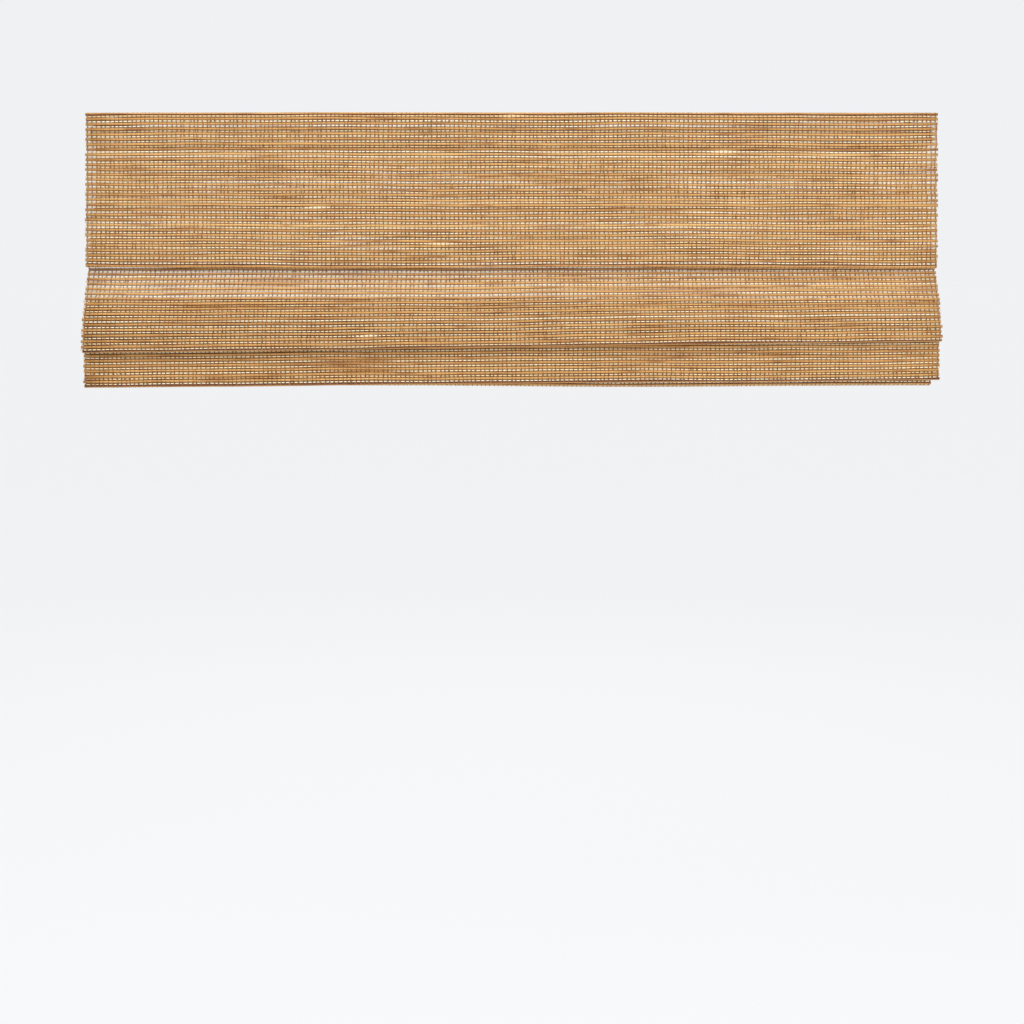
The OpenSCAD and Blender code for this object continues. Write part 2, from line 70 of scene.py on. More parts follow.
def mottle(tree, place, cells, detail):
    """Noise stretched along the axes: cells per metre on X, Y and Z."""
    mapping = tree.nodes.new("ShaderNodeMapping")
    mapping.inputs["Scale"].default_value = cells
    noise = tree.nodes.new("ShaderNodeTexNoise")
    noise.inputs["Scale"].default_value = 1.0
    noise.inputs["Detail"].default_value = detail
    tree.links.new(place, mapping.inputs["Vector"])
    tree.links.new(mapping.outputs["Vector"], noise.inputs["Vector"])
    return noise.outputs["Fac"]


def tint(tree, amount, stops):
    """Colours along a 0 to 1 value: a list of (mark, colour written in 0 to 255)."""
    ramp = tree.nodes.new("ShaderNodeValToRGB")
    elements = ramp.color_ramp.elements
    while len(elements) < len(stops):
        elements.new(0.5)
    for element, (mark, colour) in zip(elements, stops):
        element.position, element.color = mark, srgb(*colour)
    tree.links.new(amount, ramp.inputs["Fac"])
    return ramp.outputs["Color"]


def level(tree, noise, low, high):
    """Noise, which lies mostly between 0.3 and 0.7, moved into low to high."""
    span = tree.nodes.new("ShaderNodeMapRange")
    ends = {"From Min": 0.3, "From Max": 0.7, "To Min": low, "To Max": high}
    for socket, value in ends.items():
        span.inputs[socket].default_value = value
    tree.links.new(noise, span.inputs["Value"])
    return span.outputs["Result"]


def relief(tree, shader, height, depth):
    """A bump of that depth in metres."""
    bump = tree.nodes.new("ShaderNodeBump")
    bump.inputs["Distance"].default_value = depth
    tree.links.new(height, bump.inputs["Height"])
    tree.links.new(bump.outputs["Normal"], shader.inputs["Normal"])


def mottled_finish(name, roughness, cells, detail, stops,
                   metallic=0.0, gloss=None, depth=None, sockets=None):
    """A material with one noise for its colour, and for its range of roughness and its bump
    where they are given; sockets are further values of its shader."""
    material, tree, shader, place = finish_material(name, roughness, metallic)
    noise = mottle(tree, place, cells, detail)
    tree.links.new(tint(tree, noise, stops), shader.inputs["Base Color"])
    if gloss is not None:
        tree.links.new(level(tree, noise, *gloss), shader.inputs["Roughness"])
    if depth is not None:
        relief(tree, shader, noise, depth)
    for socket, value in (sockets or {}).items():
        shader.inputs[socket].default_value = value
    return material


def dress(material, slot_name, *nodes):
    """CAD nodes that keep their shape and take a finish."""
    for name in nodes:
        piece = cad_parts[name]
        piece.data.materials.clear()
        piece.data.materials.append(material)


batten = mottled_finish(
    "sawn_softwood", 0.72, (6, 260, 260), 6.0,
    [(0.30, (176, 128, 78)), (0.52, (205, 160, 108)), (0.74, (222, 184, 134))], depth=0.0003)
dress(batten, "board_wood", "headrail_board")


# Hook and loop tape: a white napped loop strip on the board's front and on its back, with pinked
# ends that turn in over the board's ends, and a stiff translucent hook strip on the top of each mat.
napped = mottled_finish(
    "napped_loop_tape", 0.95, (1400, 1400, 1400), 5.0,
    [(0.30, (206, 206, 204)), (0.62, (246, 246, 244))], depth=0.0008,
    sockets={"Sheen Weight": 0.4, "Sheen Roughness": 0.6})
board_end, tape_foot, tape_height, tape_thickness = 0.4495, -0.003, 0.018, 0.0011
tape_bend, bend_radius, flap_length = math.radians(78), 0.0018, 0.0062
flap_roundness, pink_depth, pink_rows = 0.95, 0.0011, 6
bend_steps, tape_rows = 6, 60
tape_columns = 4 * bend_steps + 1
# strip, the node it stands for, the Y of its middle, and the way its ends turn along Y
loop_strips = (
    ("front_loop_strip", "front_loop_tape", -0.0427, 1),
    ("rear_loop_strip", "rear_loop_tape", -0.0113, -1),
)


def mesh_of(form, name):
    """The mesh of a finished bmesh."""
    mesh = bpy.data.meshes.new(name)
    form.to_mesh(mesh)
    form.free()
    return mesh


def smooth(mesh):
    """Shades every face smooth."""
    mesh.polygons.foreach_set("use_smooth", np.ones(len(mesh.polygons), bool))


def placed(name, mesh, material):
    """A piece in the scene, of one mesh and one finish."""
    mesh.materials.append(material)
    piece = bpy.data.objects.new(name, mesh)
    bpy.context.scene.collection.objects.link(piece)
    return piece


def tape_place(column, row, middle, inward):
    """A point of the strip: flat along the board, bent round its end, and out along a pinked flap."""
    end = 1 if column > 2 * bend_steps else -1
    step = column - 2 * bend_steps - 1 if end > 0 else 2 * bend_steps - column
    bend = tape_bend * min(step / bend_steps, 1)
    share = max(step / bend_steps - 1, 0)
    at_edge = share > 0.99
    lobe = 2 * row / tape_rows - 1
    reach = flap_length * (0.5 + 0.5 * math.sqrt(1 - flap_roundness * lobe ** 2))
    pinking = pink_depth * abs((row + 2 * end) % pink_rows / pink_rows - 0.5)
    flap = share * (reach + pinking * at_edge)
    x = board_end + bend_radius * math.sin(bend) + flap * math.cos(tape_bend)
    y = middle + inward * (bend_radius * (1 - math.cos(bend)) + flap * math.sin(tape_bend))
    return end * x, y, tape_foot + tape_height * row / tape_rows


for name, node, middle, inward in loop_strips:
    form = bmesh.new()
    bmesh.ops.create_grid(form, x_segments=tape_columns, y_segments=tape_rows, size=1)
    for vert in form.verts:
        column = round((vert.co.x + 1) / 2 * tape_columns)
        row = round((vert.co.y + 1) / 2 * tape_rows)
        vert.co = tape_place(column, row, middle, inward)
    mesh = mesh_of(form, name)
    smooth(mesh)
    strip = placed(name, mesh, napped)
    body_of_tape = strip.modifiers.new("thickness", "SOLIDIFY")
    body_of_tape.thickness, body_of_tape.offset = tape_thickness, 0
    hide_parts(node)
    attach(strip, "headrail")

hooked = mottled_finish(
    "hook_tape", 0.38, (900, 900, 900), 2.0,
    [(0.35, (196, 190, 178)), (0.65, (226, 222, 212))], depth=0.0004,
    sockets={"Transmission Weight": 0.35})
dress(hooked, "hook_tape", "valance_hook_tape", "shade_hook_tape")


# Wall brackets: bent steel angles with a black powder coat, one near each end.
# A bolt, washer and nut clamp the board under each, and screws go into the wall.
coated = mottled_finish(
    "black_powder_coat", 0.42, (900, 900, 900), 3.0,
    [(0.35, (24, 24, 26)), (0.70, (38, 38, 40))], gloss=(0.34, 0.52), depth=0.00015)
dress(coated, "bracket_steel", "bracket_left", "bracket_right")


def ridges(tree, place, axis, pitch):
    """Even ridges along an axis, a pitch in metres apart."""
    wave = tree.nodes.new("ShaderNodeTexWave")
    wave.bands_direction = axis
    radians_per_metre = 20  # of the node itself, at a scale of one
    wave.inputs["Scale"].default_value = 2 * math.pi / (radians_per_metre * pitch)
    tree.links.new(place, wave.inputs["Vector"])
    return wave.outputs["Fac"]


def cut_thread(material, axis, pitch, depth):
    """The turns of a screw thread, as a bump on a finish."""
    tree = material.node_tree
    place = tree.nodes["Texture Coordinate"].outputs["Object"]
    relief(tree, tree.nodes["Principled BSDF"], ridges(tree, place, axis, pitch), depth)


plated = mottled_finish(
    "dark_plated_steel", 0.4, (500, 500, 500), 4.0,
    [(0.32, (62, 54, 44)), (0.68, (112, 100, 84))], metallic=1.0, gloss=(0.30, 0.55))
cut_thread(plated, "Z", 0.0007, 0.0005)
dress(plated, "bolt_steel", "bracket_bolts")

flat_plated = mottled_finish(
    "dark_plated_flats", 0.4, (420, 420, 420), 4.0,
    [(0.32, (58, 50, 42)), (0.68, (120, 104, 82))], metallic=1.0, gloss=(0.28, 0.5))
dress(flat_plated, "bolt_steel", "bracket_washers", "bracket_nuts")

antique = mottled_finish(
    "antique_screw_plate", 0.36, (600, 600, 600), 4.0,
    [(0.30, (96, 82, 54)), (0.70, (158, 138, 96))], metallic=1.0, gloss=(0.25, 0.5))
cut_thread(antique, "Y", 0.0016, 0.0009)
dress(antique, "screw_steel", "wall_screws")


# Motor: a satin aluminium tube with moulded ends, strapped under the board.
# The control head has a push button, a green status lens and a charge inlet.
satin = mottled_finish(
    "satin_aluminium", 0.36, (8, 900, 900), 5.0,
    [(0.30, (150, 152, 156)), (0.70, (190, 192, 196))], metallic=1.0, gloss=(0.28, 0.46))
dress(satin, "motor_casing", "motor_tube")

moulded = mottled_finish(
    "white_moulding", 0.45, (700, 700, 700), 3.0,
    [(0.35, (226, 226, 222)), (0.65, (240, 240, 237))], gloss=(0.38, 0.55), depth=0.00008)
dress(moulded, "white_plastic", "motor_head", "motor_end_cap",
      "spool_cradle_1", "spool_cradle_2", "spool_cradle_3", "spool_cradle_4")

grey_button = mottled_finish(
    "grey_button", 0.5, (1500, 1500, 1500), 3.0,
    [(0.35, (92, 95, 99)), (0.65, (116, 119, 124))], depth=0.0001)
dress(grey_button, "button_plastic", "motor_button")

green_lens = mottled_finish(
    "green_lens", 0.12, (1200, 1200, 1200), 2.0,
    [(0.3, (120, 205, 120)), (0.7, (170, 230, 165))], sockets={"Transmission Weight": 0.5})
dress(green_lens, "lens_plastic", "status_lens")


# Drive line: zinc plated straps, screws and a hex shaft through the motor,
# and moulded cord spools that run in cradles screwed up into the board.
zinc = mottled_finish(
    "zinc_plate", 0.34, (260, 260, 260), 5.0,
    [(0.30, (158, 160, 164)), (0.70, (202, 204, 206))], metallic=1.0, gloss=(0.24, 0.46))
dress(zinc, "zinc_steel", "motor_clip_left", "motor_clip_right", "clip_screws",
      "cradle_screws", "drive_shaft")

spool_white = mottled_finish(
    "spool_moulding", 0.4, (900, 900, 900), 3.0,
    [(0.35, (210, 210, 205)), (0.65, (228, 228, 224))], depth=0.00008)
dress(spool_white, "spool_plastic",
      "cord_spool_1", "cord_spool_2", "cord_spool_3", "cord_spool_4")


# Valance: a short woven mat pressed onto the tape on the board's front.
# Each row is one round reed and one cream yarn, bound by brown crossing threads;
# the mat is turned over at the top and turned back inside the foot.
mat_width = 0.914
row_pitch = 0.00545
reed_radius, reed_sides, reed_cuts = 0.0016, 8, 23
yarn_radii, yarn_sides, yarn_cuts = (0.00094, 0.00068), 6, 47
thread_columns = 193
valance_seed, loom_seed, warp_seed = 11, 5, 7


def arc(centre, radius, start, stop, steps=8):
    """Points round a centre in the YZ plane, in mm, with angles in degrees."""
    turn = np.radians(np.linspace(start, stop, steps + 1))
    return np.column_stack([centre[0] + radius * np.cos(turn), centre[1] + radius * np.sin(turn)])


class MatLine:
    """The line a mat follows in the YZ plane, measured along its length in metres."""

    slack = ((0, 0.0), (1, 0.0))  # row, and how far the mat's right end is up and its left end down
    probe = 0.0016  # how far each way a heading looks
    wave_height, wave_turns, wave_lag = 0.0008, 1.7, 0.6

    def __init__(self, *stretches):
        self.points = np.vstack(stretches) / 1000
        steps = np.linalg.norm(np.diff(self.points, axis=0), axis=1)
        self.marks = np.concatenate([[0.0], np.cumsum(steps)])
        self.rows = int(self.marks[-1] / row_pitch) + 1
        self.first = (self.marks[-1] - (self.rows - 1) * row_pitch) / 2

    def at(self, lengths):
        """The points at some lengths along the mat."""
        columns = [np.interp(lengths, self.marks, self.points[:, axis]) for axis in (0, 1)]
        return np.stack(columns, axis=-1)

    def heading(self, lengths):
        """The way the mat runs there."""
        ahead = self.at(lengths + self.probe) - self.at(lengths - self.probe)
        return ahead / np.maximum(np.linalg.norm(ahead, axis=-1, keepdims=True), 1e-9)

    def row(self, number):
        """The length at which a row lies."""
        return self.first + np.asarray(number, float) * row_pitch

    def droop(self, lengths, x):
        """How far the mat is out of level, from its slack and a slow wave."""
        rows, drops = np.transpose(self.slack)
        wave = np.sin(2 * math.pi * (self.wave_turns * x + self.wave_lag * lengths))
        wave = self.wave_height * wave * lengths / self.marks[-1]
        return np.interp((lengths - self.first) / row_pitch, rows, drops) * x / (mat_width / 2) + wave


def repeated(form, name, count):
    """A mesh of so many copies of one small form, one after another."""
    blank = mesh_of(form, name)
    holder = bpy.data.objects.new(name, blank)
    bpy.context.scene.collection.objects.link(holder)
    copies = holder.modifiers.new("copies", "ARRAY")
    copies.count = count
    copies.use_relative_offset = False
    evaluated = holder.evaluated_get(bpy.context.evaluated_depsgraph_get())
    mesh = bpy.data.meshes.new_from_object(evaluated)
    bpy.data.objects.remove(holder)
    bpy.data.meshes.remove(blank)
    mesh.name = name
    return mesh


def cut_long_edges(form, cuts):
    """Cuts the edges that run along Z into short lengths."""
    long_edges = [edge for edge in form.edges if edge.verts[0].co.z * edge.verts[1].co.z < 0]
    bmesh.ops.subdivide_edges(form, edges=long_edges, cuts=cuts, use_grid_fill=True)


def stick_form(cuts, sides):
    """A stick of length and radius one along X, cut into short lengths."""
    form = bmesh.new()
    bmesh.ops.create_cone(form, cap_ends=True, segments=sides, radius1=1, radius2=1, depth=1)
    cut_long_edges(form, cuts)
    quarter_turn = Matrix.Rotation(math.pi / 2, 3, "Y")
    bmesh.ops.rotate(form, verts=form.verts, matrix=quarter_turn)
    return form


def places_of(mesh, copies):
    """The vertices of a repeated mesh as an array of copies by vertices by XYZ."""
    flat = np.empty(len(mesh.vertices) * 3, np.float32)
    mesh.vertices.foreach_get("co", flat)
    return flat.reshape(copies, -1, 3).astype(float)


def settle(mesh, places, values, across, turn, base, rows):
    """Puts the vertices in place, with values and a map for the material, and shades smooth.

    On the map a vertex lies at a share across and, up it, at its row's base plus its turn."""
    mesh.vertices.foreach_set("co", places.astype(np.float32).ravel())
    for name, value in values.items():
        value = np.broadcast_to(value, places.shape[:-1]).astype(np.float32)
        mesh.attributes.new(name, "FLOAT", "POINT").data.foreach_set("value", value.ravel())
    corner = np.empty(len(mesh.loops), np.int32)
    mesh.loops.foreach_get("vertex_index", corner)
    starts = np.empty(len(mesh.polygons), np.int32)
    mesh.polygons.foreach_get("loop_start", starts)
    sizes = np.diff(np.append(starts, len(corner)))
    turn, base = turn.ravel()[corner], base.ravel()[corner]
    top = np.repeat(np.maximum.reduceat(turn, starts), sizes)
    on_seam = (top - turn > 0.5) & (np.repeat(sizes, sizes) == 4)
    turn = np.where(on_seam, turn + 1, turn)
    spots = np.column_stack([across.ravel()[corner], (base + turn) / rows])
    layer = mesh.uv_layers.new(name="OFBake")
    layer.uv.foreach_set("vector", spots.astype(np.float32).ravel())
    smooth(mesh)
    mesh.update()


def square_to(ahead):
    """The way out of the mat's face, from the way that it runs."""
    return np.stack([ahead[..., 1], -ahead[..., 0]], axis=-1)


loom_wander = 0.00042
loom_waves = ((1.1, 9), (2.3, 14), (3.7, 22), (6.1, 31), (9.7, 47))  # turns along X, and with length
sway_waves = ((1.3, 0.5), (3.1, 0.3), (7.3, 0.2))  # turns along X, and share


def lie(lengths, x):
    """How far a mat's rows wander together along its length, as a hand-fed loom leaves them."""
    dice = np.random.default_rng(loom_seed)
    total = np.zeros(np.broadcast(lengths, x).shape)
    for turns, rise in loom_waves:
        turn = turns * x + rise * lengths * (dice.random() - 0.5) + dice.random()
        total += np.sin(2 * math.pi * turn) / turns ** 0.5
    return loom_wander * total


def sway(dice, rows, x, amount):
    """A slow wander along X for each row."""
    total = np.zeros((rows, x.shape[-1]))
    for turns, share in sway_waves:
        turn = 2 * math.pi * (turns * x + dice.random((rows, 1)))
        total += share * np.sin(turn * (0.8 + 0.4 * dice.random((rows, 1))))
    return amount * total


# how the rows lie, in metres: drift along the mat, the height of their middle off its line, how
# far that strays and the most it may be; then the shares of slubs and thin rows, and the ragged ends
reed_lay = {"drift": 0.00012, "height": 0, "sink": 0.00010, "most": 0.0003,
            "slubs": 0.0, "thin": 0.12, "ends": 0.0015}
yarn_lay = {"drift": 0.00012, "height": 0.00032, "sink": 0.00013, "most": 0.00046,
            "slubs": 0.12, "thin": 0.3, "ends": 0.0026}
ends_past = 0.35  # the share of the ragged ends that may stand past the mat's width
swell_share, slub_swell, slub_length = 0.06, 0.9, 0.008


def sticks(name, line, lengths, lay, radii, form, dice, tone):
    """Rows of reed or yarn across the mat, each with its own swelling and wander."""
    count = len(lengths)
    mesh = repeated(form, name, count)
    blank = places_of(mesh, count)
    spot, ahead = line.at(lengths)[:, None, :], line.heading(lengths)[:, None, :]
    out = square_to(ahead)
    share = blank[..., 0]
    left = -mat_width / 2 + lay["ends"] * (dice.random((count, 1)) - ends_past)
    right = mat_width / 2 - lay["ends"] * (dice.random((count, 1)) - ends_past)
    x = left + (share + 0.5) * (right - left)
    swell = 1 + swell_share * sway(dice, count, 3 * share, 1.0) * (0.5 + dice.random((count, 1)))
    swell *= 1 - lay["thin"] * dice.random((count, 1)) ** 2
    for row in np.flatnonzero(dice.random(count) < lay["slubs"]):
        middle = (dice.random() - 0.5) * mat_width
        swell[row] += slub_swell * np.exp(-(((x[row] - middle) / slub_length) ** 2))
    drift = lie(lengths[:, None], x) + sway(dice, count, share, lay["drift"])
    sink = lay["height"] + lay["sink"] * dice.standard_normal((count, 1))
    sink = sink + sway(dice, count, 2 * share, lay["sink"])
    go = drift + radii[0] * swell * blank[..., 1]
    rise = np.minimum(sink, lay["most"]) + radii[1] * swell * blank[..., 2]
    place = spot + ahead * go[..., None] + out * rise[..., None]
    place[..., 1] += line.droop(lengths[:, None], x)
    places = np.concatenate([x[..., None], place], axis=-1)
    turn = np.arctan2(blank[..., 2], blank[..., 1]) / (2 * math.pi) % 1.0
    turn = np.round(turn, 4) % 1.0
    base = np.arange(count)[:, None] + np.zeros_like(share)
    # each vertex also carries how far it stands toward a face of the mat, which the finishes use to
    # paint shade on the sides of reeds and yarn
    values = {"tone": tone[:, None], "crown_for_side_shade": np.abs(blank[..., 2])}
    settle(mesh, places, values, share + 0.5, turn, base, count)
    return mesh


# one stitch, in mm along the mat, out of its face and across it: over a reed and back over the
# yarn, and the short end that crosses it there
over_along = np.array([-1.75, -1.15, 0, 1.15, 1.75, 2.725, 3.70])
over_out = np.array([0.40, 1.42, 1.86, 1.42, 0.40, 1.46, 0.40])
over_across = np.array([-0.42, -0.30, 0, 0.30, 0.42, 0, -0.42])
cross_along = np.array([1.75, 2.725, 3.70])
cross_out = np.array([0.40, 1.34, 0.40])
cross_across = np.array([-0.42, 0, 0.42])
over_steps, cross_steps, yarn_step = len(over_along) - 1, len(cross_along) - 1, 5
thread_wide, thread_narrow, thread_edge = 0.00042, 0.00035, 0.00024
thread_stray, slow_stray, quick_stray = 0.00042, 0.0005, 0.0003
stray_periods = (23, 9)  # in rows
# a thread's tone where it dips over the yarn is lower than over a reed, as painted shade in the
# groove; the spread is random
thread_in_groove_shade, thread_over_reed, tone_spread = 0.40, 0.62, 0.16


def thread_form():
    """One stitch: a strip over a reed and back over the yarn, and a short strip that crosses it."""
    form = bmesh.new()
    for strip, steps in enumerate((over_steps, cross_steps)):
        grid = bmesh.ops.create_grid(form, x_segments=2, y_segments=steps, size=1)["verts"]
        bmesh.ops.translate(form, verts=grid, vec=(0, 1, 0))
        bmesh.ops.scale(form, verts=grid, vec=(1, steps / 2, 1))
        bmesh.ops.translate(form, verts=grid, vec=(0, 0, strip))
    return form


def warp_drift(rows):
    """How far each column of thread has strayed along X by each row."""
    phases = np.random.default_rng(warp_seed).random((2, thread_columns))
    slow, quick = (np.sin(2 * math.pi * (rows[:, None] / period + phase))
                   for period, phase in zip(stray_periods, phases))
    return slow_stray * slow + quick_stray * quick


def threads(name, line, rows, side, dice):
    """The binding threads of some rows, on the mat's front face (side 1) or back face (side -1)."""
    count = len(rows)
    each = (count, thread_columns, 1)
    mesh = repeated(thread_form(), name, count * thread_columns)
    blank = places_of(mesh, count * thread_columns).reshape(count, thread_columns, -1, 3)
    across, step = blank[..., 0], np.round(blank[..., 1]).astype(int)
    crossing = blank[..., 2] > 0.5
    short = np.minimum(step, cross_steps)
    along = np.where(crossing, cross_along[short], over_along[step]) / 1000
    height = np.where(crossing, cross_out[short], over_out[step]) / 1000
    slant = np.where(crossing, cross_across[short], over_across[step]) / 1000
    pull = 0.6 + 0.9 * dice.random(each)
    wander = thread_stray * dice.standard_normal(each) + warp_drift(rows)[..., None]
    pitch = mat_width / thread_columns
    home = -mat_width / 2 + pitch * (0.5 + np.arange(thread_columns))[None, :, None]
    half_width = np.where((step == yarn_step) | crossing, thread_wide, thread_narrow)
    half_width = half_width * (0.8 + 0.4 * dice.random(each))
    x = home + wander + slant * pull + across * half_width
    row_marks = line.row(rows)[:, None, None]
    lengths = np.minimum(row_marks + along + lie(row_marks, x), line.marks[-1])
    spot, ahead = line.at(lengths), line.heading(lengths)
    out = side * square_to(ahead)
    place = spot + out * (height - thread_edge * np.abs(across))[..., None]
    place[..., 1] += line.droop(lengths, x)
    places = np.concatenate([x[..., None], place], axis=-1)
    # painted shade: a thread is darker where it dips over the yarn between two reeds
    over_yarn_in_shade = crossing | (step >= yarn_step - 1)
    tone = np.where(over_yarn_in_shade, thread_in_groove_shade, thread_over_reed) + tone_spread * dice.standard_normal(each)
    column = np.arange(thread_columns)[None, :, None] + np.zeros_like(x)
    # on the map a stitch fills its column's middle, and its crossing end lies above the rest
    turn = np.where(crossing, 0.74 + 0.12 * step, 0.115 * step) * 0.49
    base = np.arange(count)[:, None, None] + turn + np.zeros_like(x)
    spread = (column + 0.5 + 0.42 * across) / thread_columns
    settle(mesh, places, {"tone": np.clip(tone, 0, 1)}, spread, turn, base, count)
    return mesh


def mat_piece(name, node, line, rows, sides, seed):
    """A stretch of mat: its reeds, its yarn and its threads, each a piece of its own."""
    dice = np.random.default_rng(seed)
    rows = np.asarray(list(rows))
    tone = np.clip(0.5 + 0.13 * dice.standard_normal(len(rows)), 0.02, 0.98)
    meshes = [(sticks(f"{name}_reeds", line, line.row(rows), reed_lay, (reed_radius, reed_radius),
                      stick_form(reed_cuts, reed_sides), dice, tone), reed_finish)]
    between = line.row(rows) + row_pitch / 2
    between = between[between < line.marks[-1]]
    pale = np.clip(0.62 + 0.18 * dice.standard_normal(len(between)), 0, 1)
    meshes.append((sticks(f"{name}_yarn", line, between, yarn_lay, yarn_radii,
                          stick_form(yarn_cuts, yarn_sides), dice, pale), yarn_finish))
    for side in sides:
        face = f"{name}_threads" if side > 0 else f"{name}_threads_inner"
        meshes.append((threads(face, line, rows, side, dice), thread_finish))
    pieces = [placed(mesh.name, mesh, finish) for mesh, finish in meshes]
    for piece in pieces:
        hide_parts(node)
    return pieces


def attribute(tree, name):
    """A value that the mesh carries."""
    node = tree.nodes.new("ShaderNodeAttribute")
    node.attribute_name = name
    return node.outputs["Fac"]


def multiply(tree, first, *others):
    """One colour darkened by others in turn."""
    for other in others:
        mix = tree.nodes.new("ShaderNodeMix")
        mix.data_type, mix.blend_type = "RGBA", "MULTIPLY"
        mix.inputs["Factor"].default_value = 1.0
        tree.links.new(first, mix.inputs["A"])
        tree.links.new(other, mix.inputs["B"])
        first = mix.outputs["Result"]
    return first


white = (255, 255, 255)
reed_finish, tree, shader, place = finish_material("golden_reed", 0.5)
streaks = mottle(tree, place, (22, 1500, 1500), 5.0)
stains = mottle(tree, place, (30, 240, 240), 3.0)
reed_colour = multiply(
    tree,
    tint(tree, attribute(tree, "tone"), [
        (0.0, (164, 112, 54)), (0.3, (198, 148, 82)), (0.55, (213, 165, 98)),
        (0.8, (226, 182, 115)), (1.0, (240, 202, 140))]),
    tint(tree, streaks, [(0.30, (206, 192, 172)), (0.60, white)]),
    tint(tree, stains, [(0.28, (206, 184, 158)), (0.48, white)]),
    # painted shade: each reed is darkened on its sides, away from its crown, where the crevices
    # beside the yarn fall in shade
    tint(tree, attribute(tree, "crown_for_side_shade"), [
        (0.0, (74, 36, 10)), (0.38, (152, 100, 54)), (0.74, (255, 252, 246))]),
)
tree.links.new(reed_colour, shader.inputs["Base Color"])
tree.links.new(level(tree, streaks, 0.62, 0.42), shader.inputs["Roughness"])
relief(tree, shader, streaks, 0.0003)

yarn_finish, tree, shader, place = finish_material("cream_yarn", 0.9)
fibres = mottle(tree, place, (350, 2600, 2600), 5.0)
# painted shade: the yarn darkens in even bands along X at each column of threads, where they pinch it
pinch_shade = ridges(tree, place, "X", mat_width / thread_columns)
soiling = mottle(tree, place, (10, 190, 190), 3.0)
yarn_colour = multiply(
    tree,
    tint(tree, attribute(tree, "tone"), [
        (0.0, (226, 196, 142)), (0.35, (248, 230, 188)), (0.7, (255, 250, 222)),
        (1.0, (255, 255, 242))]),
    tint(tree, fibres, [(0.30, (224, 214, 198)), (0.58, white)]),
    tint(tree, pinch_shade, [(0.04, (206, 156, 96)), (0.30, white)]),
    # painted shade: the yarn is darkened on its sides, away from its crown, where it lies in shade
    # between the reeds
    tint(tree, attribute(tree, "crown_for_side_shade"), [
        (0.0, (140, 84, 36)), (0.34, (236, 196, 140)), (0.62, white)]),
    tint(tree, soiling, [(0.30, (206, 166, 116)), (0.45, white)]),
)
tree.links.new(yarn_colour, shader.inputs["Base Color"])
shader.inputs["Sheen Weight"].default_value = 0.25
relief(tree, shader, fibres, 0.0006)

thread_finish, tree, shader, place = finish_material("brown_thread", 0.75)
twist = mottle(tree, place, (2600, 1500, 1500), 3.0)
# the threads' tone holds a random spread and painted shade where they dip over the yarn
thread_colour = multiply(
    tree,
    tint(tree, attribute(tree, "tone"), [
        (0.0, (124, 72, 26)), (0.5, (164, 106, 46)), (1.0, (198, 142, 74))]),
    tint(tree, twist, [(0.30, (190, 176, 160)), (0.62, white)]),
)
tree.links.new(thread_colour, shader.inputs["Base Color"])
relief(tree, shader, twist, 0.0003)

valance_line = MatLine(
    [(-41.9, 20)],
    arc((-44.2, 26.1), 2.3, 0, 180),
    arc((-44.2, -134.1), 2.3, 180, 360),
    [(-41.9, -118)],
)
# first row, last row, and what holds it
valance_stretches = {
    "valance_upper": (0, 18, ["front_loop_tape"]),
    "valance_lower": (19, valance_line.rows - 1, []),
}
for name, (first, last, held_at) in valance_stretches.items():
    pieces = mat_piece(name, "valance_mat", valance_line, range(first, last + 1), (1,),
                       valance_seed + first)
    for piece in pieces:
        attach(piece, "headrail")


# Shade: the long woven mat, pressed onto the tape on the board's back.
# It hangs down behind the valance, swells out into the front fold, and is drawn up
# in nested folds; its drops and hem ride on the fold rows and bar that the cords lift, and its rises
# are left in place on no body.
stack, turn_radius, layer_gap = (-26.75, -203.0), 2.4, 4.8
shade_seed, part_seeds = 31, 20


def layer_radius(layer):
    """How far a layer lies from the middle of the stack."""
    return turn_radius + layer_gap * layer


def fold_line(layer):
    """The turn at the top of a fold, behind the stack."""
    centre = (stack[0], stack[1] + layer_radius(layer) - turn_radius)
    return arc(centre, turn_radius, 90, -90, 6)


def fold(layer, bottom):
    """Down one layer of the stack, round the bottom and up the next."""
    middle = stack[0] - (layer_radius(layer) + layer_radius(layer - 1)) / 2
    return np.vstack([
        arc(stack, layer_radius(layer), 90, 180),
        arc((middle, bottom + turn_radius), turn_radius, 180, 360),
        arc(stack, layer_radius(layer - 1), 180, 90 if layer > 1 else 0),
    ])


def curve(handles, steps):
    """A cubic curve from its four handles."""
    share = np.linspace(0, 1, steps + 1)[:, None]
    rest = 1 - share
    start, first, second, stop = np.array(handles)
    return (rest ** 3 * start + 3 * rest ** 2 * share * first
            + 3 * rest * share ** 2 * second + share ** 3 * stop)


shade_line = MatLine(
    [(-7.5, 14), (-7.5, -57.5), (-25.15, -89.5)],
    curve([(-37, -138), (-49, -164), (-64.5, -193.125), (-63.5, -216.125)], 16),
    arc((-60.725, -217.125), 2.775, 180, 360),
    arc(stack, layer_radius(6), 180, 90),
    fold_line(6), fold(5, -259.9),
    fold_line(4), fold(3, -259.4),
    fold_line(2), fold(1, -258.9),
    arc((-17.525, -258.575), 6.825, 180, 360, 10),
    arc((-14.7, -224.575), 4, 0, 90, 4),
    [(-19.55, -220.575)],
)
shade_line.slack = (
    (27, 0), (45, 0.0062), (58, 0), (77, 0.0042), (95, 0),
    (111, 0.003), (126, 0), (139, 0.002), (151, 0),
)
